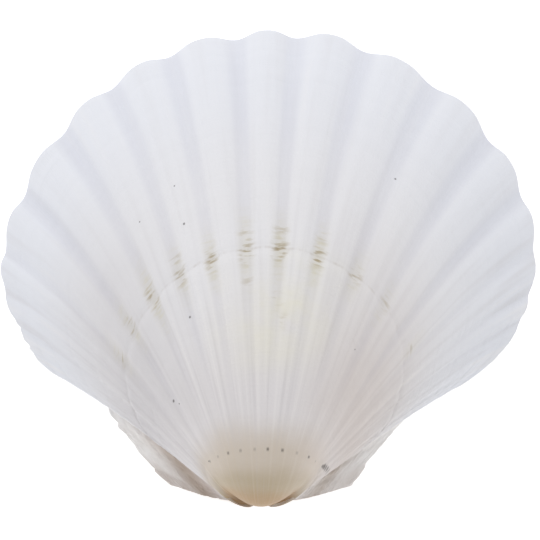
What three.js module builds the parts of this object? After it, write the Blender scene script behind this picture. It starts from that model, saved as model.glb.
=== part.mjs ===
// One valve of a large scallop, lying hollow side down. Millimetres, +Z up, beak towards -Y.
//
// A scallop grows by adding to its edge, so every earlier edge is a smaller copy of the last one,
// turned about the hinge line. The whole outside is that edge, swept down a growth spiral to the beak.
import * as THREE from "three";
import { ParametricGeometry } from "three/addons/geometries/ParametricGeometry.js";
import { mergeVertices } from "three/addons/utils/BufferGeometryUtils.js";

// The growth spiral, about the hinge line (the X axis).
const COIL = 1.04; // shrinkage for each radian of turning
const NARROWING = 0.085; // extra shrinkage of the width: a young shell is narrower
const LAST_TURN = 2.6; // radians of turning from the edge to the beak
const DROOP = 4.5; // how far the ears and flanks sag past the hinge line, at the beak
const BLUNTNESS = 0.22; // extra width of the very young shell, which makes a blunt beak
const BLUNT_START = 0.07; // where that extra width is whole, and where it ends, as shares of full size
const BLUNT_END = 0.26;

// The edge, seen from above, as points of smooth curves: both ears and the fan between them.
const LEFT_EAR = [[-20.3, -0.2], [-24.7, 4.2], [-28.7, 9.5], [-32.5, 14.3], [-34, 19]];
const FAN = [
  [-34, 19], [-46.7, 25], [-53, 33.2], [-56.9, 43], [-57.2, 52], [-53.9, 64.2], [-45.5, 78.8],
  [-33.1, 90.8], [-17.5, 99.2], [0, 102.4], [17.8, 101], [34.2, 94], [48, 83.1], [57.5, 68.5],
  [61, 55], [60.2, 43.5], [55.4, 31.8], [46.3, 23], [35.3, 18],
];
const RIGHT_EAR = [[35.3, 18], [32, 14], [28.2, 10], [24.5, 5.5], [21.9, 1.8], [20.4, -0.4]];
const FLANK = 54; // length of the fan's edge, from each ear, that sags with it

// The furrows between the ribs, as bearings in degrees from the middle line.
const FURROWS = [
  -62, -57.7, -52.6, -47.7, -39.4, -29.3, -20.5, -12, -3.1, 4.5, 13.4, 23.3, 33.5, 42.2, 49.6, 54.9, 58, 62,
];
const RIB = 1.94; // height from furrow to crest, at the edge
const CREST_SHARE = 0.25; // share of that height above the smooth outside
const CREST_BREADTH = 2.8; // higher gives broader crests and narrower furrows
const RIB_GROWTH = 1.7; // how fast the ribs fade towards the beak: 1 keeps their proportions
const CAP = 0.225; // the smooth cap at the beak, as a share of full size
const CAP_BLEND = 0.06; // the ribs rise over this share beyond the cap
const FLANK_FADE = { from: 36, to: 57, by: 0.65 }; // the ribs are lower on the flanks, by bearing
const LAST_RIB = 61; // bearing where the ribs have died out

// Wall and hinge plate.
const LIP = 1.2; // thickness of the rounded lip
const LIP_OVERHANG = 0.35; // how far the lip stands past the edge, as a share of its thickness
const LIP_START = 0.9; // where the wall starts to thin towards the lip, as a share of full size
const FLUTING_START = 0.7; // where the inner face starts to follow the ribs
const WALL = 2.2; // thickness of the wall a little way in
const UMBO_GAIN = 2.4; // extra thickness towards the beak
const EAR_WALL = 1.7;
const WALL_BLEND = 14; // the wall thickens from the ears' to the fan's over this length of edge
const FLOOR = -1.7; // the surface the shell lies on, below the hinge line
const PLATE = { halfWidth: 11, side: -2.8, front: 2.5, rimLift: 0.8 }; // the flat hinge plate
const PLATE_BLEND = [-0.5, 1.5]; // the roof rises from the floor over this stretch of its front
const ROOF_END = 0.3; // where the roof of the hollow turns down, as a share of full size
const EAR_END = 0.66; // the same on the ears
const TIP = new THREE.Vector3(0, -4.7, 0.9);
const PLATE_BACK = new THREE.Vector3(0, -4.3, FLOOR);

// Mesh density.
const COLUMNS = 96;
const STAGES = 24;
const ROOF_SHARE = 0.62; // share of the inner rows on the roof, then on the back wall
const WALL_SHARE = 0.85;

const { smoothstep, lerp, clamp } = THREE.MathUtils;

function curveThrough(points) {
  return new THREE.SplineCurve(points.map(([x, y]) => new THREE.Vector2(x, y)));
}

const edge = new THREE.CurvePath();
[LEFT_EAR, FAN, RIGHT_EAR].forEach((points) => edge.add(curveThrough(points)));
const [leftEnd, fanEnd, edgeLength] = edge.getCurveLengths();

// 1 on the ears, falling to 0 along each flank of the fan.
function sag(along) {
  const left = smoothstep(along, leftEnd, leftEnd + FLANK);
  const right = smoothstep(along, fanEnd - FLANK, fanEnd);
  return 1 - left + right;
}

// A point of the smooth outside, without ribs: place along the edge and share of full size.
function skin(along, size) {
  const point = edge.getPoint(clamp(along / edgeLength, 0, 1));
  const turn = -Math.log(size) / COIL;
  const drop = DROOP * (1 - size * size) * sag(along);
  const blunt = 1 + BLUNTNESS * (1 - smoothstep(size, BLUNT_START, BLUNT_END));
  return new THREE.Vector3(
    point.x * blunt * size ** (1 + NARROWING),
    point.y * size * Math.cos(turn) - drop,
    point.y * size * Math.sin(turn),
  );
}

// The outward direction of the smooth outside.
function outward(along, size) {
  const step = 0.5;
  const across = skin(along + step, size).sub(skin(along - step, size));
  const growth = skin(along, size * 1.01).sub(skin(along, size * 0.99));
  return across.cross(growth).normalize();
}

// The ribs' height across the fan as a share of the whole: absent on the ears.
function ribWave(along) {
  if (along <= leftEnd || along >= fanEnd) return 0;
  const point = edge.getPoint(along / edgeLength);
  const bearing = THREE.MathUtils.radToDeg(Math.atan2(point.x, point.y));
  const next = FURROWS.findIndex((furrow) => furrow > bearing);
  if (next < 1) return 0;
  const across = (bearing - FURROWS[next - 1]) / (FURROWS[next] - FURROWS[next - 1]);
  const wave = CREST_SHARE - Math.abs(Math.cos(Math.PI * across)) ** CREST_BREADTH;
  const side = Math.abs(bearing);
  const lower = 1 - FLANK_FADE.by * smoothstep(side, FLANK_FADE.from, FLANK_FADE.to);
  return wave * lower * (1 - smoothstep(side, FLANK_FADE.to, LAST_RIB));
}

function ribRise(along, size) {
  return RIB * size ** RIB_GROWTH * ribWave(along) * smoothstep(size, CAP, CAP + CAP_BLEND);
}

function outerPoint(along, size) {
  return skin(along, size).addScaledVector(outward(along, size), ribRise(along, size));
}

function thickness(along, size) {
  const fromEar = Math.min(along - leftEnd, fanEnd - along);
  const fan = WALL + UMBO_GAIN * (1 - size);
  const full = lerp(EAR_WALL, fan, smoothstep(fromEar, 0, WALL_BLEND));
  return lerp(full, LIP, smoothstep(size, LIP_START, 1));
}

// The wall's inner face. Its flat ribs match the outer ones, and die out away from the lip.
function roofPoint(along, size) {
  const fluting = ribRise(along, size) * smoothstep(size, FLUTING_START, 1);
  return skin(along, size).addScaledVector(outward(along, size), fluting - thickness(along, size));
}

function roofEnd(along) {
  return lerp(ROOF_END, EAR_END, sag(along));
}

// The rim of the hinge plate, half an ellipse from ear to ear.
function plateRim(along) {
  const angle = (Math.PI * along) / edgeLength;
  const rise = PLATE.front - PLATE.side;
  return new THREE.Vector3(
    -PLATE.halfWidth * Math.cos(angle),
    PLATE.side + rise * Math.sin(angle),
    FLOOR + PLATE.rimLift,
  );
}

// The inner face: roof, rounded back wall, then the flat hinge plate. The wall arches over the
// hollow under the fan, and drops straight to the floor under the ears.
function innerPoint(along, depth) {
  if (depth <= ROOF_SHARE) return roofPoint(along, roofEnd(along) ** (depth / ROOF_SHARE));
  const front = plateRim(along);
  if (depth <= WALL_SHARE) {
    const sweep = ((depth - ROOF_SHARE) / (WALL_SHARE - ROOF_SHARE)) * (Math.PI / 2);
    const roof = roofPoint(along, roofEnd(along));
    const early = Math.sin(sweep);
    const late = 1 - Math.cos(sweep);
    const inward = lerp(early, late, sag(along));
    return new THREE.Vector3(
      lerp(roof.x, front.x, inward),
      lerp(roof.y, front.y, inward),
      lerp(roof.z, front.z, lerp(late, early, sag(along))),
    );
  }
  return front.lerp(PLATE_BACK, (depth - WALL_SHARE) / (1 - WALL_SHARE));
}

// Nothing reaches below the floor, and the hinge plate lies flat on it.
function settle(point) {
  const [from, to] = PLATE_BLEND;
  const lift = smoothstep(point.y, PLATE.front + from, PLATE.front + to);
  point.z = Math.max(FLOOR, lerp(FLOOR, point.z, lift));
  return point;
}

function lipPoint(along) {
  const middle = outerPoint(along, 1).lerp(roofPoint(along, 1), 0.5);
  const growth = skin(along, 1).sub(skin(along, 0.99)).normalize();
  middle.addScaledVector(growth, LIP * LIP_OVERHANG);
  middle.z = Math.max(FLOOR, middle.z);
  return middle;
}

function shellPoint(around, down, target) {
  const ring = 2 * (COLUMNS + 1);
  const place = Math.round((1 - around) * ring) % ring;
  const isOuter = place <= COLUMNS;
  const column = isOuter ? place : 2 * COLUMNS + 1 - place;
  const along = (edgeLength * column) / COLUMNS;
  const stage = Math.round(down * STAGES);
  if (stage === 0) target.copy(lipPoint(along));
  else if (isOuter) target.copy(outerStage(along, stage));
  else target.copy(settle(innerPoint(along, (stage - 1) / (STAGES - 1))));
}

function outerStage(along, stage) {
  if (stage === STAGES) return TIP;
  return outerPoint(along, Math.exp((-COIL * LAST_TURN * (stage - 1)) / (STAGES - 2)));
}

// One closed surface: equal corners joined, and faces that shrank to a line dropped.
function closed(surface) {
  surface.deleteAttribute("normal");
  surface.deleteAttribute("uv");
  const merged = mergeVertices(surface, 1e-3);
  const index = merged.index.array;
  const kept = [];
  for (let i = 0; i < index.length; i += 3) {
    const [a, b, c] = index.slice(i, i + 3);
    if (a !== b && b !== c && c !== a) kept.push(a, b, c);
  }
  merged.setIndex(kept);
  return merged;
}

// The origin is under the middle of the shell, on the surface it lies on.
function centred(geometry) {
  geometry.computeBoundingBox();
  const { min, max } = geometry.boundingBox;
  geometry.translate(-(min.x + max.x) / 2, -(min.y + max.y) / 2, -min.z);
  geometry.computeVertexNormals();
  return geometry;
}

const surface = new ParametricGeometry(shellPoint, 2 * (COLUMNS + 1), STAGES);
const material = new THREE.MeshStandardMaterial({ color: 0xe9e7e6, roughness: 0.55, metalness: 0 });
const valve = new THREE.Mesh(centred(closed(surface)), material);
valve.name = "shell_valve";

const scallop = new THREE.Group();
scallop.add(valve);

export default scallop;
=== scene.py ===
"""One valve of a large scallop, lying hollow side down on a pale floor.

A scallop grows by adding to its edge, so every earlier edge is a smaller copy of the last one,
turned about the hinge line. The whole outside is that edge, swept down a growth spiral to the
beak, with the ribs and growth marks raised on it and its last edge chipped. The form is worked
out in millimetres about the hinge line (the X axis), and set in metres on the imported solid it
replaces. A bearing is an angle in degrees from the middle line, and a growth is a share of full
size, so a bearing and a growth give a place on the shell.
"""
import math

import bmesh
import bpy
import numpy as np
from bpy.props import FloatProperty, FloatVectorProperty, IntProperty, PointerProperty
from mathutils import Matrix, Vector


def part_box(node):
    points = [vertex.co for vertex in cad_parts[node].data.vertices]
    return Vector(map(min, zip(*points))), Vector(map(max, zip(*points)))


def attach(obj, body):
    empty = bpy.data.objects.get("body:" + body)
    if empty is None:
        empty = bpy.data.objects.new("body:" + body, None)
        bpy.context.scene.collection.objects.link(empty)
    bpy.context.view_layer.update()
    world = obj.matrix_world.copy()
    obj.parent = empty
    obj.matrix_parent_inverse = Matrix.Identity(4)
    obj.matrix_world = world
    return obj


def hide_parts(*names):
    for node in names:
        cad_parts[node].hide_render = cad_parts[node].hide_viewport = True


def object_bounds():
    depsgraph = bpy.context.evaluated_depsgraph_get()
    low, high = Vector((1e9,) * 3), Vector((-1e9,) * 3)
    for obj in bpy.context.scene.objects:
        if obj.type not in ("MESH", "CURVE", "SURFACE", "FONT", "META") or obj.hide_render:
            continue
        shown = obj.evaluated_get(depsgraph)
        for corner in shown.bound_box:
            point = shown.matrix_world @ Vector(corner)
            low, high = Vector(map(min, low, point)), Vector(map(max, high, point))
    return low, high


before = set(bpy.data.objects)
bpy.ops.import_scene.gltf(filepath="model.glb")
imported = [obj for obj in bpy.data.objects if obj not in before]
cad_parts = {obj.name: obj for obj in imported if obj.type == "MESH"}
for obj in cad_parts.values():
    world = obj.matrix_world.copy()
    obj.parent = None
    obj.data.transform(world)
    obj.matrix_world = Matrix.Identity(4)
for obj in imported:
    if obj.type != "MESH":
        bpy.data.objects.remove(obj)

bl_info = {
    "name": "Scallop Valve",
    "version": (1, 0, 0),
    "blender": (4, 5, 0),
    "location": "3D View > Sidebar > Shell",
    "description": "Makes one ribbed scallop valve and the pale stage it lies on",
    "category": "Add Mesh",
}

NODE = "shell_valve"
MM = 0.001
CAD_BOX = [list(corner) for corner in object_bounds()]

# The growth spiral, about the hinge line.
COIL = 1.04  # shrinkage for each radian of turning
NARROWING = 0.085  # extra shrinkage of the width: a young shell is narrower
LAST_TURN = 2.6  # radians of turning from the edge to the beak
DROOP = 4.5  # how far the ears and flanks sag past the hinge line, at the beak
BLUNTNESS = 0.22  # extra width of the very young shell, which makes a blunt beak
BLUNT_START, BLUNT_END = 0.07, 0.26  # where that width is whole and where it ends, by size
BEAK = math.exp(-COIL * LAST_TURN)  # the beak's share of full size

# The edge, seen from above, as points of smooth curves: both ears and the fan between them.
LEFT_EAR = ((-20.3, -0.2), (-24.7, 4.2), (-28.7, 9.5), (-32.5, 14.3), (-34, 19))
FAN = (
    (-34, 19), (-46.7, 25), (-53, 33.2), (-56.9, 43), (-57.2, 52), (-53.9, 64.2),
    (-45.5, 78.8), (-33.1, 90.8), (-17.5, 99.2), (0, 102.4), (17.8, 101), (34.2, 94),
    (48, 83.1), (57.5, 68.5), (61, 55), (60.2, 43.5), (55.4, 31.8), (46.3, 23), (35.3, 18),
)
RIGHT_EAR = ((35.3, 18), (32, 14), (28.2, 10), (24.5, 5.5), (21.9, 1.8), (20.4, -0.4))
FLANK = 54  # length of the fan's edge, from each ear, that sags with it

# The furrows between the ribs, as bearings in degrees from the middle line.
FURROWS = (
    -62, -57.7, -52.6, -47.7, -39.4, -29.3, -20.5, -12, -3.1,
    4.5, 13.4, 23.3, 33.5, 42.2, 49.6, 54.9, 58, 62,
)
CREST_SHARE = 0.25  # share of a rib's height above the smooth outside
RIB_GROWTH = 1.7  # how fast the ribs fade towards the beak: 1 keeps their proportions
CAP = 0.225  # the smooth cap at the beak, as a share of full size
CAP_BLEND = 0.06  # the ribs rise over this share beyond the cap
FADE_START, FADE_END, FADE_SHARE = 36, 57, 0.65  # the ribs are lower on the flanks, by bearing
LAST_RIB = 61  # bearing where the ribs have died out
CHECK = 0.543  # the growth check, where the shell once stopped growing

GROWTH_LINES = (  # fainter checks: growth, and depth as a share of the main one's
    (0.44, 0.3), (0.66, 0.25), (0.76, 0.4), (0.87, 0.35), (0.945, 0.4),
)
CAP_GROOVE = 0.16  # depth of the groove round the cap, in millimetres
STRIAE = 0.16  # height of the fine lines on the flanks, in millimetres
CHIP_SPAN = 40  # about how far the chipped stretches are from the beak, in millimetres
EDGE_STEP, GROWTH_STEP = 0.5, 0.01  # steps along the edge and in growth that find a slope

# Wall and hinge plate.
UMBO_GAIN = 2.4  # extra thickness towards the beak
EAR_WALL = 1.7
WALL_BLEND = 14  # the wall thickens from the ears' to the fan's over this length of edge
LIP_OVERHANG = 0.35  # how far the rounded lip stands past the edge, as a share of its thickness
LIP_START = 0.9  # growth where the wall starts to thin towards the lip
LIP_ROWS = 6  # faces round the lip
FLUTING_START = 0.7  # growth where the inner face starts to follow the ribs
FLOOR = -1.7  # the surface the shell lies on, below the hinge line
PLATE_HALF, PLATE_SIDE, PLATE_FRONT = 11, -2.8, 2.5
PLATE_RIM_LIFT = 0.8
PLATE_BLEND = (-0.5, 1.5)  # the roof rises from the floor over this stretch of the plate's front
ROOF_END = 0.3  # where the roof of the hollow turns down, as a share of full size
EAR_END = 0.66  # the same on the ears
TIP = (0, -4.7, 0.9)
PLATE_BACK = (0, -4.3, FLOOR)
ROOF_SHARE = 0.62  # share of the inner rows on the roof, then on the back wall
WALL_SHARE = 0.85

# The muscle scar and the mantle line on the inside. Depths are in millimetres.
SCAR_BEARING, SCAR_GROWTH = -7, 0.6
SCAR_BREADTH, SCAR_HEIGHT = 24, 0.13  # half its size, in degrees and in growth
SCAR_DEPTH, SCAR_GROOVE = 0.16, 0.10
MANTLE_LINE, MANTLE_DEPTH = 0.86, 0.12

# Soft stains in the furrows at the growth check: bearing, growth, half the breadth in degrees,
# half the height in growth, and strength.
STAINS = (
    (-47, 0.557, 2.6, 0.026, 0.5), (-39, 0.557, 2.6, 0.030, 0.6), (-29.4, 0.55, 2.7, 0.034, 0.8),
    (-20.4, 0.544, 2.6, 0.026, 0.7), (-12, 0.54, 2.6, 0.024, 0.85), (-3.3, 0.54, 2.8, 0.030, 0.8),
    (4.7, 0.54, 2.8, 0.026, 1.0), (14, 0.543, 2.6, 0.024, 1.0), (24, 0.544, 2.6, 0.022, 0.6),
    (34, 0.544, 2.6, 0.022, 0.4), (47.5, 0.57, 2.4, 0.020, 0.35), (-3.3, 0.572, 2.4, 0.012, 0.35),
    (4.7, 0.574, 2.6, 0.012, 0.4), (5, 0.462, 2.4, 0.014, 0.4), (7, 0.43, 2.2, 0.012, 0.3),
    (-3.3, 0.49, 2.4, 0.014, 0.3), (-20.4, 0.575, 2.2, 0.014, 0.4), (14, 0.575, 2.2, 0.012, 0.3),
)
FLUSH_REACH = 3.2  # the faint cast around a stain is this many times as high
# Small dark specks: bearing, growth and radius in millimetres.
SPECKS = (
    (-16.3, 0.62, 0.38), (24.5, 0.75, 0.34), (-21.1, 0.47, 0.36), (-40, 0.38, 0.5),
    (-16.3, 0.695, 0.25), (-25, 0.68, 0.25), (-38, 0.365, 0.3), (32, 0.44, 0.22),
    (-40.8, 0.230, 0.36),
)
# Marks that run together into a short crack at the right of the cap.
CRACK = (
    (53.6, 0.251, 0.5), (54.6, 0.257, 0.7), (55.7, 0.264, 0.9),
    (57.4, 0.274, 0.9), (59.2, 0.287, 0.8), (61.2, 0.305, 0.7),
)
MM_A_DEGREE = 1.78  # millimetres for a degree of bearing, at full size
MM_OF_GROWTH = 130.0  # about how far the fan runs, in millimetres, while it grows to full size
LIGAMENT_MIDDLE = -0.0018  # the ligament pit's place across the hinge plate

# Depth of each material's bump, in metres.
OUTSIDE_GRAIN, INSIDE_GRAIN, FLOOR_GRAIN = 0.00016, 0.00004, 0.00001

# Mesh and stage.
DRIFT_CELLS = 97  # random fields repeat after this many cells
FEWEST_EAR_COLUMNS = 8
RIM_SAMPLES = 800  # points of the lip that find its extents
SHARP_ANGLE = math.radians(48)
FLOOR_GAP = 0.0002
KEY_PLACE, KEY_TARGET = Vector((-0.16, 0.42, 0.9)), Vector((0, 0, 0.01))
AIM_OFFSET = Vector((0.0004, -0.0004, 0.0017))  # from under the shell's middle to the view's centre


def tint(red, green, blue):
    """A screen colour, 0 to 255, as the linear colour that a shader takes."""
    shares = [part / 255 for part in (red, green, blue)]
    return [s / 12.92 if s <= 0.04045 else ((s + 0.055) / 1.055) ** 2.4 for s in shares]


def length(name, description, default):
    return FloatProperty(name=name, description=description, default=default, unit="LENGTH")


def colour(name, description, default):
    return FloatVectorProperty(
        name=name, description=description, default=default, subtype="COLOR", min=0, max=1
    )


class ScallopShape(bpy.types.PropertyGroup):
    rib_height: length("Rib height", "Height from furrow to crest, at the edge", 0.00194)
    wall: length("Wall", "Thickness of the wall a little way in from the lip", 0.0022)
    lip: length("Lip", "Thickness of the rounded lip", 0.0012)
    check_depth: length("Growth check", "Depth of the step where growth once stopped", 0.00022)
    ear_relief: length("Ear relief", "Height of the rough ridges on the ears", 0.00024)
    chip_depth: length("Chips", "How far the worn edge is eaten back", 0.0016)
    crest_breadth: FloatProperty(
        name="Crest breadth", default=2.8,
        description="Higher gives broader crests and narrower furrows",
    )
    columns: IntProperty(name="Columns", description="Faces along the edge", default=430, min=60)
    rows: IntProperty(
        name="Rows", description="Faces from the lip to the beak", default=138, min=20
    )
    inner_rows: IntProperty(
        name="Inner rows", description="Faces from the lip to the hinge plate", default=58, min=20
    )


class ScallopColours(bpy.types.PropertyGroup):
    edge: colour("Edge", "Newest shell, at the edge", tint(234, 236, 243))
    body: colour("Body", "The broad middle of the fan", tint(236, 235, 238))
    umbo: colour("Umbo", "Older shell above the cap", tint(231, 227, 228))
    rim: colour("Cap rim", "The upper part of the smooth cap", tint(212, 200, 186))
    cap: colour("Cap", "The smooth cap of the young shell", tint(188, 172, 146))
    beak: colour("Beak", "The very tip of the cap", tint(178, 147, 108))
    peach: colour("Peach flush", "Warm flush on the right flank", tint(216, 205, 199))
    cream: colour("Cream flush", "Pale yellow of the middle ribs", tint(240, 236, 214))
    # The furrow tone is painted shade: a cool grey multiplied into the furrows, darker the deeper
    # the furrow.
    furrow: colour("Furrow", "Cool grey of the furrows", tint(240, 240, 244))
    stain: colour("Stain", "Brown dashes at the growth check", tint(150, 128, 92))
    speck: colour("Speck", "Small dark specks and pits", tint(74, 70, 66))
    # This tone is brown painted shade in the folds beside the ears and under the fan, and also the
    # real colour of the muscle scar inside.
    fold_shade_and_scar_tone: colour("Crease", "Grime in the folds beside the ears", tint(166, 146, 124))
    ear_flush: colour("Ear flush", "Tan flush on the ears, beside the beak", tint(196, 182, 174))
    # The ear tone also serves as the painted highlight along the fine lines on the fan.
    ear: colour("Ear", "The newer, whiter part of the ears", tint(250, 247, 245))
    # The grey of the fine lines is painted shade; the grey of the left flank is the shell's own
    # tone.
    line_shade_and_flank_grey: colour("Streak", "Grey of the fine lines and of the left flank", tint(206, 202, 204))
    haze: colour("Haze", "Olive cast in the furrows around the growth check", tint(214, 208, 182))
    glaze: colour("Glaze", "The smooth white inside", tint(240, 238, 234))
    glaze_warm: colour("Warm glaze", "Warm tone deep inside", tint(232, 214, 200))
    ligament: colour("Ligament", "Dried ligament in the hinge pit", tint(96, 70, 48))


class ScallopStage(bpy.types.PropertyGroup):
    floor_colour: colour("Floor", "The pale floor", tint(250, 250, 250))
    floor_size: length("Floor size", "Side of the square floor", 4.0)
    key_power: FloatProperty(
        name="Key power", description="Power of the broad top light", default=3.6, unit="POWER"
    )
    key_size: length("Key size", "Side of the broad top light", 1.0)
    sky: FloatProperty(
        name="Sky", description="Strength of the even light all round", default=0.62, min=0
    )
    glow: FloatProperty(
        name="Floor glow", description="Light given off by the floor", default=0.5, min=0
    )
    distance: length("Camera distance", "From the shell to the camera", 1.0)
    tilt: FloatProperty(
        name="Camera tilt", description="How far the camera leans towards the hinge",
        default=math.radians(12), subtype="ANGLE",
    )
    focal: FloatProperty(
        name="Focal length", description="Focal length of the camera's lens", default=300,
        subtype="DISTANCE_CAMERA",
    )


# ---------------------------------------------------------------- form


def smooth(value, low, high):
    """0 below low, 1 above high, and a smooth rise between."""
    share = np.clip((value - low) / (high - low), 0, 1)
    return share * share * (3 - 2 * share)


def bell(value, centre, half):
    """1 at the centre, falling to 0 at half a width either side."""
    return 1 - smooth(np.abs(value - centre), 0, half)


def drift(across, down, seed):
    """A smooth random field between -1 and 1, on a grid one unit apart. The seed picks it."""
    grid = np.random.default_rng(seed).uniform(-1, 1, (DRIFT_CELLS, DRIFT_CELLS))
    across, down = np.broadcast_arrays(across, down)
    col, row = np.floor(across).astype(int), np.floor(down).astype(int)
    u, v = smooth(across - col, 0, 1), smooth(down - row, 0, 1)

    def corner(right, up):
        return grid[(col + right) % DRIFT_CELLS, (row + up) % DRIFT_CELLS]

    near = corner(0, 0) * (1 - u) + corner(1, 0) * u
    far = corner(0, 1) * (1 - u) + corner(1, 1) * u
    return near * (1 - v) + far * v


def curve_through(points, steps=60):
    """Close points of the smooth curve through the given ones."""
    knots = np.array(points, float)
    spans = len(knots) - 1
    place = np.linspace(0, spans, spans * steps + 1)
    first = np.minimum(place.astype(int), spans - 1)
    t = (place - first)[:, None]
    start, end = knots[first], knots[first + 1]
    leave = (end - knots[np.maximum(first - 1, 0)]) / 2
    arrive = (knots[np.minimum(first + 2, spans)] - start) / 2
    cubic = 2 * start - 2 * end + leave + arrive
    square = 3 * end - 3 * start - 2 * leave - arrive
    return cubic * t**3 + square * t**2 + leave * t + start


def unit(vectors):
    return vectors / np.maximum(np.linalg.norm(vectors, axis=-1, keepdims=True), 1e-9)


class Form:
    """The valve's surfaces. A place is its distance along the edge and its share of full size."""

    def __init__(self, shape):
        self.rib = shape.rib_height / MM
        self.wall = shape.wall / MM
        self.lip = shape.lip / MM
        self.check_depth = shape.check_depth / MM
        self.ear_relief = shape.ear_relief / MM
        self.chip_depth = shape.chip_depth / MM
        self.breadth = shape.crest_breadth
        left, fan, right = (curve_through(part) for part in (LEFT_EAR, FAN, RIGHT_EAR))
        self.points = np.vstack([left, fan[1:], right[1:]])
        steps = np.linalg.norm(np.diff(self.points, axis=0), axis=1)
        self.run = np.concatenate([[0], np.cumsum(steps)])
        self.left_end = self.run[len(left) - 1]
        self.fan_end = self.run[len(left) + len(fan) - 2]
        self.length = self.run[-1]

    def edge(self, along):
        return [np.interp(along, self.run, self.points[:, axis]) for axis in (0, 1)]

    def bearing(self, along):
        x, y = self.edge(along)
        return np.degrees(np.arctan2(x, y))

    def is_ear(self, along):
        return (along < self.left_end) | (along > self.fan_end)

    def fold(self, along):
        """Distance from the nearer ear's fold: positive on the fan, negative on the ear."""
        return np.minimum(along - self.left_end, self.fan_end - along)

    def sag(self, along):
        """1 on the ears, falling to 0 along each flank of the fan."""
        left = smooth(along, self.left_end, self.left_end + FLANK)
        right = smooth(along, self.fan_end - FLANK, self.fan_end)
        return 1 - left + right

    def skin(self, along, size):
        """The smooth outside, without ribs."""
        x, y = self.edge(along)
        turn = -np.log(size) / COIL
        drop = DROOP * (1 - size * size) * self.sag(along)
        blunt = 1 + BLUNTNESS * (1 - smooth(size, BLUNT_START, BLUNT_END))
        return np.stack([
            x * blunt * size ** (1 + NARROWING),
            y * size * np.cos(turn) - drop,
            y * size * np.sin(turn),
        ], axis=-1)

    def outward(self, along, size):
        older, newer = size * (1 - GROWTH_STEP), size * (1 + GROWTH_STEP)
        across = self.skin(along + EDGE_STEP, size) - self.skin(along - EDGE_STEP, size)
        growth = self.skin(along, newer) - self.skin(along, older)
        return unit(np.cross(across, growth))

    def wave(self, along):
        """The ribs' height across the fan as a share of the whole: absent on the ears."""
        bearing = self.bearing(along)
        furrows = np.array(FURROWS, float)
        after = np.clip(np.searchsorted(furrows, bearing, side="right"), 1, len(furrows) - 1)
        before = furrows[after - 1]
        across = np.clip((bearing - before) / (furrows[after] - before), 0, 1)
        wave = CREST_SHARE - np.abs(np.cos(np.pi * across)) ** self.breadth
        side = np.abs(bearing)
        wave = wave * (1 - FADE_SHARE * smooth(side, FADE_START, FADE_END))
        wave = wave * (1 - smooth(side, FADE_END, LAST_RIB))
        return np.where(self.is_ear(along), 0, wave)

    def rib_rise(self, along, size):
        uneven = 1 + 0.10 * drift(along / 9, size * 9, 11)
        rise = self.rib * size**RIB_GROWTH * self.wave(along) * uneven
        return rise * smooth(size, CAP, CAP + CAP_BLEND)

    def relief(self, along, size):
        """Growth waves, the growth check, the cap's groove, lines on the flanks and rough ears.

        Heights are in millimetres. Each random field is stretched over some millimetres of edge,
        and changes so many times while the shell grows.
        """
        wobble = size + 0.004 * drift(along / 14, 3.5, 21)
        waves = 0.055 * drift(along / 30, size * 42, 22) + 0.03 * drift(along / 11, size * 66, 23)
        waves = waves * smooth(size, 0.25, 0.5)
        check = -self.check_depth * bell(wobble, CHECK, 0.010)
        check = check + 0.45 * self.check_depth * bell(wobble, CHECK - 0.018, 0.016)
        for place, share in GROWTH_LINES:
            check = check - share * self.check_depth * bell(wobble, place, 0.008)
        rim = -CAP_GROOVE * bell(size, CAP + 0.012, 0.014)
        side = smooth(np.abs(self.bearing(along)), 44, 58) * smooth(size, 0.3, 0.5)
        striae = STRIAE * side * drift(along / 1.1, size * 1.5, 24)
        fan = np.where(self.is_ear(along), 0, waves + check + rim + striae)
        away = smooth(-self.fold(along), 0.5, 3)
        lamellae = 0.6 * drift(along / 4, size * 55, 31) + 0.4 * drift(along / 1.2, size * 20, 32)
        riblets = 0.8 * drift(along / 1.5, size * 3, 33)
        return fan + self.ear_relief * away * (lamellae + riblets) * smooth(size, 0.2, 0.45)

    def chips(self, along):
        """How far the edge is eaten back, as a share of full size, by broad and fine nicks."""
        fold = self.fold(along)
        worn = smooth(-fold, 1, 4) + 1.1 * bell(along, self.left_end + 20, 13)
        broad, fine = drift(along / 1.7, 0.5, 41), drift(along / 0.9, 9.5, 42)
        nicks = np.maximum(0, broad) + 0.5 * np.maximum(0, fine)
        return self.chip_depth * worn * nicks / CHIP_SPAN

    def worn(self, along, size):
        return size * (1 - self.chips(along) * smooth(size, 0.86, 1))

    def outside(self, along, size):
        size = self.worn(along, size)
        rise = self.rib_rise(along, size) + self.relief(along, size)
        return self.skin(along, size) + self.outward(along, size) * rise[..., None]

    def thickness(self, along, size):
        fan = smooth(self.fold(along), 0, WALL_BLEND)
        full = EAR_WALL * (1 - fan) + (self.wall + UMBO_GAIN * (1 - size)) * fan
        share = smooth(size, LIP_START, 1)
        return full * (1 - share) + self.lip * share

    def roof(self, along, size):
        """The wall's inner face. Its flat ribs match the outer ones and die out inwards."""
        size = self.worn(along, size)
        fluting = self.rib_rise(along, size) * smooth(size, FLUTING_START, 1)
        rise = fluting - self.thickness(along, size) + self.scars(along, size)
        return self.skin(along, size) + self.outward(along, size) * rise[..., None]

    def scars(self, along, size):
        """The muscle scar and the line where the mantle held on, pressed into the roof."""
        across = (self.bearing(along) - SCAR_BEARING) / SCAR_BREADTH
        far = np.hypot(across, (size - SCAR_GROWTH) / SCAR_HEIGHT)
        scar = SCAR_DEPTH * (1 - smooth(far, 0.86, 1.02)) - SCAR_GROOVE * bell(far, 1.02, 0.10)
        mantle = MANTLE_DEPTH * bell(size, MANTLE_LINE, 0.012) * (1 - self.sag(along))
        fan = np.where(self.is_ear(along), 0, scar + mantle)
        return fan * smooth(size, 0.34, 0.42)

    def roof_end(self, along):
        sag = self.sag(along)
        return ROOF_END * (1 - sag) + EAR_END * sag

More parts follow.
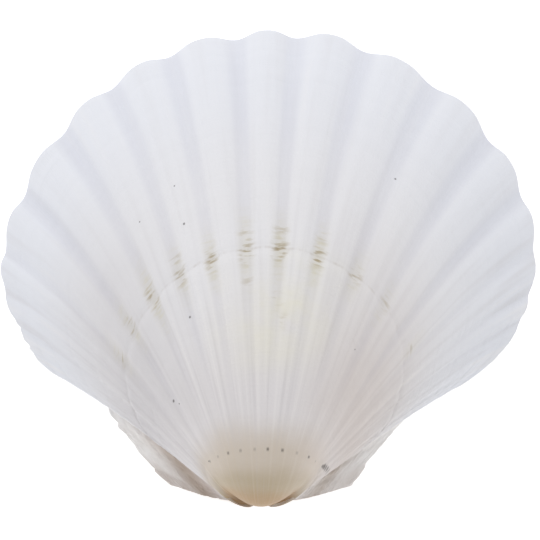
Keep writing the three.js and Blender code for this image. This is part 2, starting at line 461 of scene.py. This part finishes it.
    def plate_rim(self, along):
        """The rim of the hinge plate, half an ellipse from ear to ear."""
        angle = np.pi * along / self.length
        rise = PLATE_FRONT - PLATE_SIDE
        return np.stack([
            -PLATE_HALF * np.cos(angle),
            PLATE_SIDE + rise * np.sin(angle),
            np.full_like(angle, FLOOR + PLATE_RIM_LIFT),
        ], axis=-1)

    def inside(self, along, depth):
        """The inner face from the lip, 0, to the hinge, 1: roof, back wall, then hinge plate."""
        end = self.roof_end(along)
        if depth <= ROOF_SHARE:
            return self.roof(along, end ** (depth / ROOF_SHARE))
        rim = self.plate_rim(along)
        if depth <= WALL_SHARE:
            sweep = (depth - ROOF_SHARE) / (WALL_SHARE - ROOF_SHARE) * math.pi / 2
            ear, early, late = self.sag(along), math.sin(sweep), 1 - math.cos(sweep)
            inward = early * (1 - ear) + late * ear
            down = late * (1 - ear) + early * ear
            share = np.stack([inward, inward, down], axis=-1)
            return self.roof(along, end) * (1 - share) + rim * share
        share = (depth - WALL_SHARE) / (1 - WALL_SHARE)
        return rim * (1 - share) + np.array(PLATE_BACK, float) * share

    def settle(self, points):
        """Nothing reaches below the floor, and the hinge plate lies flat on it."""
        low, high = PLATE_BLEND
        lift = smooth(points[..., 1], PLATE_FRONT + low, PLATE_FRONT + high)
        points[..., 2] = np.maximum(FLOOR, FLOOR * (1 - lift) + points[..., 2] * lift)
        return points

    def lip_row(self, along, sweep):
        """A row of the rounded lip: 0 at the outside, half a turn at the inside."""
        full = np.ones_like(along)
        outer, inner = self.outside(along, full), self.roof(along, full)
        middle = (outer + inner) / 2
        forward = unit(self.skin(along, full) - self.skin(along, full * (1 - GROWTH_STEP)))
        stand = LIP_OVERHANG * self.lip * math.sin(sweep)
        points = middle + (outer - middle) * math.cos(sweep) + forward * stand
        points[..., 2] = np.maximum(FLOOR, points[..., 2])
        return points


# ---------------------------------------------------------------- mesh


class Rows:
    """The valve's rows of points from tip to hinge plate, each with what its material needs."""

    def __init__(self, form, shape):
        self.form = form
        ears = max(FEWEST_EAR_COLUMNS, round(shape.columns * form.left_end / form.length))
        fan = shape.columns - 2 * ears
        self.along = np.concatenate([
            np.linspace(0, form.left_end, ears + 1)[:-1],
            np.linspace(form.left_end, form.fan_end, fan + 1)[:-1],
            np.linspace(form.fan_end, form.length, ears + 1),
        ])
        self.points, self.growth, self.inner = [], [], []
        self.outer_rows(shape.rows)
        self.lip_rows(LIP_ROWS)
        self.inner_rows(shape.inner_rows)

    def add(self, points, growth, inner):
        self.points.append(points)
        self.growth.append(np.broadcast_to(growth, self.along.shape))
        self.inner.append(inner)

    def outer_rows(self, count):
        for size in np.linspace(BEAK, 1, count):
            self.add(self.form.outside(self.along, np.full_like(self.along, size)), size, 0)

    def lip_rows(self, count):
        for step in range(1, count):
            sweep = math.pi * step / count
            self.add(self.form.lip_row(self.along, sweep), 1, step / count)

    def inner_rows(self, count):
        end = self.form.roof_end(self.along)
        for depth in np.linspace(0, 1, count + 1)[:-1]:
            points = self.form.settle(self.form.inside(self.along, depth))
            plate = max(0, (depth - ROOF_SHARE) / (1 - ROOF_SHARE))
            self.add(points, end ** min(1, depth / ROOF_SHARE), 1 + plate)

    def lip_middle(self, shape):
        """Number of the row at the very edge, half way round the lip."""
        return shape.rows + LIP_ROWS // 2 - 1


def bridge(points, outer, inner, flip):
    """Triangles between two strings of points that start from the same one."""
    faces, i, j = [], 0, 0
    while i < len(outer) - 1 or j < len(inner) - 1:
        step_outer = j == len(inner) - 1
        if i < len(outer) - 1 and not step_outer:
            along_outer = np.linalg.norm(points[outer[i + 1]] - points[inner[j]])
            along_inner = np.linalg.norm(points[outer[i]] - points[inner[j + 1]])
            step_outer = along_outer <= along_inner
        if step_outer:
            face = (outer[i], outer[i + 1], inner[j])
            i += 1
        else:
            face = (outer[i], inner[j + 1], inner[j])
            j += 1
        if len(set(face)) == 3:
            faces.append(face[::-1] if flip else face)
    return faces


def grid_faces(rows, columns):
    """Quads of a grid whose first point is number 1."""
    first = (np.arange(rows - 1)[:, None] * columns + np.arange(columns - 1)[None, :] + 1).ravel()
    return np.stack([first, first + columns, first + columns + 1, first + 1], axis=1)


def valve_mesh(shape):
    """The closed surface in millimetres, and the values its materials read."""
    form = Form(shape)
    rows = Rows(form, shape)
    count, columns = len(rows.points), len(rows.along)
    body = np.vstack(rows.points)
    points = np.vstack([TIP, body, PLATE_BACK])
    back = len(points) - 1
    faces = grid_faces(count, columns).tolist()
    for column in range(columns - 1):
        faces.append((0, column + 1, column + 2))
        last = back - columns + column
        faces.append((last + 1, last, back))
    middle = rows.lip_middle(shape)
    for column, flip in ((0, False), (columns - 1, True)):
        string = [row * columns + column + 1 for row in range(count)]
        outer = string[: middle + 1][::-1] + [0]
        faces += bridge(points, outer, string[middle:] + [back], flip)
    along = np.tile(rows.along, count)
    growth = np.concatenate(rows.growth)
    inner = np.repeat(rows.inner, columns)
    values = mark_values(form, along, growth, inner)
    return form, points, faces, {name: pad_ends(value) for name, value in values.items()}


def pad_ends(values):
    """The tip and the back of the plate take their neighbours' values."""
    return np.concatenate([[values[0]], values, [values[-1]]])


def mark_values(form, along, growth, inner):
    """What the materials read. A furrow value runs from -1 in a furrow to 1 on a crest."""
    bearing = form.bearing(along)
    stain = np.zeros_like(along)
    flush = np.zeros_like(along)
    for place, age, breadth, height, strength in STAINS:
        across = bell(bearing, place, breadth)
        stain = np.maximum(stain, strength * across * bell(growth, age, height))
        flush = np.maximum(flush, strength * across * bell(growth, age, FLUSH_REACH * height))
    return {
        "along": along, "growth": growth, "bearing": bearing, "inner": inner,
        "furrow": 2 * (form.wave(along) - CREST_SHARE) + 1, "fold": form.fold(along) * growth,
        "stain": stain, "flush": flush, "ear": form.is_ear(along).astype(float),
    }


def place_on_node(form, points):
    """Sets the surface, in metres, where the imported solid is."""
    low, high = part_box(NODE)
    rim = form.lip_row(np.linspace(0, form.length, RIM_SAMPLES), math.pi / 2) * MM
    shift = np.array([
        (low.x + high.x) / 2 - (rim[:, 0].min() + rim[:, 0].max()) / 2,
        high.y - rim[:, 1].max(),
        low.z - FLOOR * MM,
    ])
    return points * MM + shift


def mesh_object(name, points, faces, values):
    mesh = bpy.data.meshes.new(name)
    mesh.from_pydata(points.tolist(), [], faces)
    for key, numbers in values.items():
        layer = mesh.attributes.new(key, "FLOAT", "POINT")
        layer.data.foreach_set("value", np.asarray(numbers, np.float32))
    work = bmesh.new()
    work.from_mesh(mesh)
    bmesh.ops.recalc_face_normals(work, faces=work.faces)
    work.to_mesh(mesh)
    work.free()
    mesh.shade_smooth()
    mesh.set_sharp_from_angle(angle=SHARP_ANGLE)
    made = bpy.data.objects.new(name, mesh)
    bpy.context.scene.collection.objects.link(made)
    return made


def give_materials(made, materials, values):
    """The first material is the outside's, the second the inside's."""
    for material in materials:
        made.data.materials.append(material)
    inner = np.asarray(values["inner"])
    loops = np.zeros(len(made.data.loops), int)
    made.data.loops.foreach_get("vertex_index", loops)
    starts = np.zeros(len(made.data.polygons), int)
    made.data.polygons.foreach_get("loop_start", starts)
    lowest = np.minimum.reduceat(inner[loops], starts)
    made.data.polygons.foreach_set("material_index", (lowest >= 0.5).astype(np.int32))


# ---------------------------------------------------------------- finish


class Wire:
    """A shader socket. Sums written with it add Math nodes."""

    def __init__(self, paint, socket):
        self.paint = paint
        self.socket = socket

    def __add__(self, other):
        return self.paint.maths("ADD", self, other)

    def __sub__(self, other):
        return self.paint.maths("SUBTRACT", self, other)

    def __rsub__(self, other):
        return self.paint.maths("SUBTRACT", other, self)

    def __mul__(self, other):
        return self.paint.maths("MULTIPLY", self, other)

    def __truediv__(self, other):
        return self.paint.maths("DIVIDE", self, other)

    def __pow__(self, other):
        return self.paint.maths("POWER", self, other)

    def __abs__(self):
        return self.paint.maths("ABSOLUTE", self)

    __radd__ = __add__
    __rmul__ = __mul__


class Paint:
    """A material, and the one way its nodes are added."""

    def __init__(self, name):
        self.material = bpy.data.materials.new(name)
        self.material.use_nodes = True
        self.tree = self.material.node_tree
        self.tree.nodes.clear()

    def node(self, kind, settings, sockets, output=0):
        made = self.tree.nodes.new(kind)
        for key, value in settings.items():
            if key == "stops":
                self.set_stops(made.color_ramp, value)
            else:
                setattr(made, key, value)
        for key, value in sockets.items():
            if isinstance(value, Wire):
                self.tree.links.new(value.socket, made.inputs[key])
            else:
                made.inputs[key].default_value = value
        return Wire(self, made.outputs[output]) if made.outputs else None

    def set_stops(self, ramp, stops):
        ramp.interpolation = "EASE"
        while len(ramp.elements) < len(stops):
            ramp.elements.new(0.5)
        for element, (place, shade) in zip(ramp.elements, stops):
            element.position = place
            element.color = shade

    def maths(self, operation, *values):
        return self.node("ShaderNodeMath", {"operation": operation}, dict(enumerate(values)))

    def most(self, first, second):
        return self.maths("MAXIMUM", first, second)

    def smooth(self, value, low, high):
        limits = {"Value": value, "From Min": low, "From Max": high}
        return self.node("ShaderNodeMapRange", {"interpolation_type": "SMOOTHSTEP"}, limits)

    def bell(self, value, centre, half):
        return self.smooth(abs(value - centre), half, 0)

    def value(self, name):
        return self.node("ShaderNodeAttribute", {"attribute_name": name}, {}, "Fac")

    def place(self, x, y, z=0.0):
        return self.node("ShaderNodeCombineXYZ", {}, {0: x, 1: y, 2: z})

    def body_place(self):
        return self.node("ShaderNodeTexCoord", {}, {}, "Object")

    def noise(self, place, scale=1.0, detail=2.0, rough=0.5):
        sockets = {"Vector": place, "Scale": scale, "Detail": detail, "Roughness": rough}
        return self.node("ShaderNodeTexNoise", {}, sockets)

    def blend(self, factor, first, second, kind="MIX"):
        settings = {"data_type": "RGBA", "blend_type": kind, "clamp_factor": True}
        return self.node("ShaderNodeMix", settings, {0: factor, 6: first, 7: second}, 2)

    def finish(self, shade, rough, height, depth, constants):
        """The shader: colour, roughness and a bump of the given depth in metres."""
        bumps = {"Strength": 1.0, "Distance": depth, "Height": height}
        bump = self.node("ShaderNodeBump", {}, bumps)
        sockets = {"Base Color": shade, "Roughness": rough, "Normal": bump, **constants}
        shader = self.node("ShaderNodeBsdfPrincipled", {}, sockets)
        self.node("ShaderNodeOutputMaterial", {}, {"Surface": shader})
        return self.material


def flat(shade):
    return (*shade, 1.0)


def outside_material(tones):
    """Chalky ribbed shell: tan at the beak, white at the edge, with stains and specks."""
    paint = Paint("scallop_outside")
    growth, bearing, along = paint.value("growth"), paint.value("bearing"), paint.value("along")
    furrow, fold, ear = paint.value("furrow"), paint.value("fold"), paint.value("ear")
    body = paint.body_place()
    cloud = paint.noise(body, 45.0, 4.0, 0.6)
    shade = growth_colour(paint, growth, cloud, tones)
    shade = striae_light_and_shade(paint, shade, growth, along, bearing, tones)
    shade = flush_colour(paint, shade, growth, bearing, furrow, cloud, tones)
    shade = ear_colour(paint, shade, growth, bearing, ear, body, tones)
    shade = stain_colour(paint, shade, growth, bearing, along, tones)
    shade = speck_colour(paint, shade, growth, bearing, furrow, tones)
    shade = fold_shade_colour(paint, shade, growth, bearing, fold, tones)
    lines = paint.noise(paint.place(along * 0.06, growth * 210.0), 1.0, 3.0, 0.6)
    striae = paint.noise(paint.place(along * 1.9, growth * 2.5), 1.0, 3.0, 0.6)
    grain = paint.noise(body, 1900.0, 2.0, 0.6)
    height = lines * 0.45 + striae * growth * 0.45 + grain * 0.22
    rough = 0.50 + cloud * 0.16 + ear * 0.06 - paint.smooth(growth, 0.3, 0.1) * 0.12
    return paint.finish(shade, rough, height, OUTSIDE_GRAIN, {"Specular IOR Level": 0.4})


def growth_colour(paint, growth, cloud, tones):
    """The main colour, from the beak to the edge."""
    place = growth + (cloud - 0.5) * 0.07
    stops = (
        (0.115, flat(tones.beak)), (0.165, flat(tones.cap)), (0.22, flat(tones.rim)),
        (0.30, flat(tones.umbo)), (0.55, flat(tones.body)), (0.95, flat(tones.edge)),
    )
    return paint.node("ShaderNodeValToRGB", {"stops": stops}, {"Fac": place})


def striae_light_and_shade(paint, shade, growth, along, bearing, tones):
    """Painted light and shade along the fine lines that fan out from the cap, clearest over the
    umbo and on the flanks: grey lines and whiter ones.
    """
    where = paint.smooth(growth, 0.72, 0.32) * paint.smooth(growth, 0.23, 0.32)
    where = where * 0.8 + paint.smooth(abs(bearing), 34, 56) * 0.6 + 0.25
    fine = paint.noise(paint.place(along * 0.36, growth * 2.6, 9.1), 1.0, 1.5, 0.45)
    # Painted shade in grey along the fine lines, then a painted highlight in white beside them.
    shade = paint.blend(paint.smooth(fine, 0.52, 0.28) * where * 0.32, shade, flat(tones.line_shade_and_flank_grey))
    return paint.blend(paint.smooth(fine, 0.54, 0.78) * where * 0.36, shade, flat(tones.ear))


def flush_colour(paint, shade, growth, bearing, furrow, cloud, tones):
    """A warm flush on the right, a grey one on the left, a yellow middle, and cool grey painted
    shade in the furrows.
    """
    right = paint.smooth(bearing, 8, 42) * paint.bell(growth, 0.38, 0.34)
    shade = paint.blend(right * (0.25 + cloud * 0.8), shade, flat(tones.peach))
    left = paint.smooth(bearing, -14, -44) * paint.bell(growth, 0.5, 0.42)
    shade = paint.blend(left * (0.2 + cloud * 0.6), shade, flat(tones.line_shade_and_flank_grey))
    middle = paint.bell(bearing + (0.47 - growth) * 60.0, 7, 26) * paint.bell(growth, 0.45, 0.13)
    patchy = paint.smooth(cloud, 0.36, 0.62)
    shade = paint.blend(middle * (0.15 + patchy * 0.85), shade, flat(tones.cream))
    # Painted shade: the furrows are darkened with a cool grey, more the deeper they are.
    deep = paint.smooth(furrow, 0.1, -1.0) * paint.smooth(growth, 0.26, 0.5)
    return paint.blend(deep * (0.2 + cloud * 0.7), shade, flat(tones.furrow), "MULTIPLY")


def ear_colour(paint, shade, growth, bearing, ear, body, tones):
    """White ears, tan beside the beak, and brown painted shade in the fold under the cap."""
    patch = paint.smooth(paint.noise(body, 130.0, 3.0, 0.6), 0.42, 0.62)
    near_beak = paint.smooth(growth, 0.92, 0.56)
    shade = paint.blend(ear * 0.95, shade, flat(tones.ear))
    hinge_side = paint.smooth(abs(bearing), 75, 85) * 0.7
    left = 0.42 + paint.smooth(bearing, 10, -10) * 0.58
    tanned = ear * (paint.most(near_beak, hinge_side) * 0.85 * left + patch * 0.14)
    tanned = tanned * paint.smooth(growth, 0.2, 0.5)
    shade = paint.blend(tanned, shade, flat(tones.ear_flush))
    # Painted shade: the ears are darkened in a band where they tuck under the fan beside the cap.
    deep = paint.bell(growth, 0.60, 0.16) * 0.4
    return paint.blend(ear * deep, shade, flat(tones.fold_shade_and_scar_tone))


def stain_colour(paint, shade, growth, bearing, along, tones):
    """The growth check: a thin broken line, and dashes in a faint olive cast in the furrows."""
    stain, flush = paint.value("stain"), paint.value("flush")
    dashes = paint.noise(paint.place(along * 0.17, growth * 150.0, 4.3), 1.0, 2.0, 0.5)
    dashes = paint.smooth(dashes, 0.46, 0.66)
    line_place = growth + (paint.noise(paint.place(along * 0.07, 2.0), 1.0, 1.0) - 0.5) * 0.012
    line = paint.bell(line_place, CHECK, 0.0035)
    broken = paint.smooth(paint.noise(paint.place(along * 0.3, 7.7), 1.0, 2.0), 0.45, 0.62)
    middle = paint.smooth(abs(bearing), 52, 20)
    shade = paint.blend(flush * (0.4 + dashes * 0.4), shade, flat(tones.haze))
    shade = paint.blend(stain * dashes * 0.85, shade, flat(tones.stain))
    return paint.blend(line * middle * (0.03 + broken * 0.14), shade, flat(tones.stain))


def speck_colour(paint, shade, growth, bearing, furrow, tones):
    """Stray specks, the crack, and the pits where each furrow starts at the cap."""
    marks = None
    for place, age, radius in SPECKS + CRACK:
        across = (bearing - place) * (age * MM_A_DEGREE)
        down = (growth - age) * MM_OF_GROWTH
        apart = (across * across + down * down) ** 0.5
        spot = paint.smooth(apart, radius, radius * 0.35)
        marks = spot if marks is None else paint.most(marks, spot)
    pit = paint.smooth(furrow, -0.62, -0.95) * paint.bell(growth, CAP + 0.003, 0.0048)
    uneven = paint.noise(paint.place(bearing * 0.13, 5.5), 1.0, 1.0)
    marks = paint.most(marks * 0.75, pit * (0.25 + paint.smooth(uneven, 0.35, 0.6) * 0.45))
    return paint.blend(marks, shade, flat(tones.speck))


def fold_shade_colour(paint, shade, growth, bearing, fold, tones):
    """Painted shade in the fold beside each ear, deepest by the beak and part way along the left
    one.
    """
    left = paint.smooth(bearing, 0, -10)
    # Painted shade: the fold beside each ear is darkened, most by the beak and along a stretch of
    # the left fold.
    wedge_shade = paint.smooth(growth, 0.42, 0.24) * paint.bell(fold, -0.8, 2.4)
    line = paint.bell(fold, 0.05, 0.6) * paint.bell(growth, 0.77, 0.2) * left
    rest = paint.bell(fold, -0.1, 0.7) * 0.35
    painted_fold_shade = paint.most(paint.most(wedge_shade * (0.1 + left * 0.6), line * 0.8), rest)
    return paint.blend(painted_fold_shade, shade, flat(tones.fold_shade_and_scar_tone))


def inside_material(tones):
    """Smooth glazed inside, warmer deep in, with a dark ligament pit in the hinge plate."""
    paint = Paint("scallop_inside")
    growth, bearing, inner = paint.value("growth"), paint.value("bearing"), paint.value("inner")
    body = paint.body_place()
    cloud = paint.noise(body, 55.0, 4.0, 0.6)
    shade = paint.blend(
        paint.smooth(growth, 0.85, 0.35) * (0.3 + cloud), flat(tones.glaze), flat(tones.glaze_warm)
    )
    across = (bearing - SCAR_BEARING) / SCAR_BREADTH
    down = (growth - SCAR_GROWTH) / SCAR_HEIGHT
    apart = (across * across + down * down) ** 0.5
    apart = apart + (cloud - 0.5) * 0.25
    scar = paint.bell(apart, 1.0, 0.16) * 0.22 + paint.smooth(apart, 1.0, 0.9) * 0.10
    shade = paint.blend(scar, shade, flat(tones.fold_shade_and_scar_tone))
    reach = (2.02 - inner) * 0.010
    sideways = abs(paint.node("ShaderNodeSeparateXYZ", {}, {0: body}, 0) - LIGAMENT_MIDDLE)
    pit = paint.smooth(reach - sideways, -0.0004, 0.0010) * paint.smooth(inner, 1.60, 1.68)
    shade = paint.blend(pit, shade, flat(tones.ligament))
    lines = paint.noise(paint.place(paint.value("along") * 0.05, growth * 120.0), 1.0, 3.0, 0.6)
    height = lines * 0.5 + paint.noise(body, 900.0, 2.0, 0.6) * 0.15
    rough = 0.26 + cloud * 0.14 + pit * 0.3
    coat = {"Coat Weight": 0.15, "Coat Roughness": 0.2}
    return paint.finish(shade, rough, height, INSIDE_GRAIN, coat)


def floor_material(settings):
    paint = Paint("pale_floor")
    mottle = paint.noise(paint.body_place(), 3.0, 2.0, 0.5)
    shade = paint.blend(mottle * 0.04, flat(settings.floor_colour), flat(tint(240, 240, 242)))
    grain = paint.noise(paint.body_place(), 600.0, 2.0, 0.5)
    constants = {
        "Specular IOR Level": 0.1, "Emission Color": (1, 1, 1, 1),
        "Emission Strength": settings.glow,
    }
    return paint.finish(shade, 0.85 + mottle * 0.05, grain, FLOOR_GRAIN, constants)


# ---------------------------------------------------------------- operators


class SCALLOP_OT_valve(bpy.types.Operator):
    """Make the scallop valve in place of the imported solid"""

    bl_idname = "scallop.make_valve"
    bl_label = "Make Valve"

    def execute(self, context):
        shape, tones = context.scene.scallop_shape, context.scene.scallop_colours
        form, points, faces, values = valve_mesh(shape)
        placed = place_on_node(form, points)
        valve = mesh_object("scallop_valve", placed, faces, values)
        give_materials(valve, (outside_material(tones), inside_material(tones)), values)
        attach(valve, "root")
        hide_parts(NODE)
        return {"FINISHED"}


class SCALLOP_OT_stage(bpy.types.Operator):
    """Make the pale floor, the soft lights and the camera"""

    bl_idname = "scallop.make_stage"
    bl_label = "Make Stage"

    def execute(self, context):
        settings = context.scene.scallop_stage
        make_floor(settings)
        make_lights(context.scene, settings)
        make_camera(context.scene, settings)
        context.scene.view_settings.view_transform = "Standard"
        return {"FINISHED"}


def make_floor(settings):
    half = settings.floor_size / 2
    corners = [(-half, -half, 0), (half, -half, 0), (half, half, 0), (-half, half, 0)]
    mesh = bpy.data.meshes.new("floor")
    mesh.from_pydata(corners, [], [(0, 1, 2, 3)])
    floor = bpy.data.objects.new("floor", mesh)
    floor.location.z = CAD_BOX[0][2] - FLOOR_GAP
    mesh.materials.append(floor_material(settings))
    bpy.context.scene.collection.objects.link(floor)


def aim(thing, target):
    thing.rotation_euler = (target - thing.location).to_track_quat("-Z", "Y").to_euler()


def make_lights(scene, settings):
    world = bpy.data.worlds.new("studio")
    world.use_nodes = True
    world.node_tree.nodes["Background"].inputs["Color"].default_value = (1, 1, 1, 1)
    world.node_tree.nodes["Background"].inputs["Strength"].default_value = settings.sky
    scene.world = world
    lamp = bpy.data.lights.new("key", "AREA")
    lamp.energy = settings.key_power
    lamp.size = settings.key_size
    key = bpy.data.objects.new("key", lamp)
    key.location = KEY_PLACE
    aim(key, KEY_TARGET)
    scene.collection.objects.link(key)


def make_camera(scene, settings):
    lens = bpy.data.cameras.new("camera")
    lens.lens = settings.focal
    camera = bpy.data.objects.new("camera", lens)
    low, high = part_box(NODE)
    middle = (low + high) / 2
    target = Vector((middle.x, middle.y, low.z)) + AIM_OFFSET
    back = Vector((0, -math.sin(settings.tilt), math.cos(settings.tilt)))
    camera.location = target + settings.distance * back
    camera.rotation_euler = (settings.tilt, 0, 0)
    scene.collection.objects.link(camera)
    scene.camera = camera


class SCALLOP_PT_panel(bpy.types.Panel):
    bl_idname = "SCALLOP_PT_panel"
    bl_label = "Scallop Valve"
    bl_space_type = "VIEW_3D"
    bl_region_type = "UI"
    bl_category = "Shell"

    def draw(self, context):
        for group in ("scallop_shape", "scallop_colours", "scallop_stage"):
            settings = getattr(context.scene, group)
            box = self.layout.box()
            for name in settings.__annotations__:
                box.prop(settings, name)
        for operator in OPERATORS:
            self.layout.operator(operator.bl_idname)


OPERATORS = (SCALLOP_OT_valve, SCALLOP_OT_stage)
GROUPS = {
    "scallop_shape": ScallopShape,
    "scallop_colours": ScallopColours,
    "scallop_stage": ScallopStage,
}


def register():
    for made in (*GROUPS.values(), *OPERATORS, SCALLOP_PT_panel):
        bpy.utils.register_class(made)
    for name, group in GROUPS.items():
        setattr(bpy.types.Scene, name, PointerProperty(type=group))


def unregister():
    for name in GROUPS:
        delattr(bpy.types.Scene, name)
    for made in reversed((*GROUPS.values(), *OPERATORS, SCALLOP_PT_panel)):
        bpy.utils.unregister_class(made)


def main():
    register()
    bpy.ops.scallop.make_valve()
    bpy.ops.scallop.make_stage()


if __name__ == "__main__":
    main()
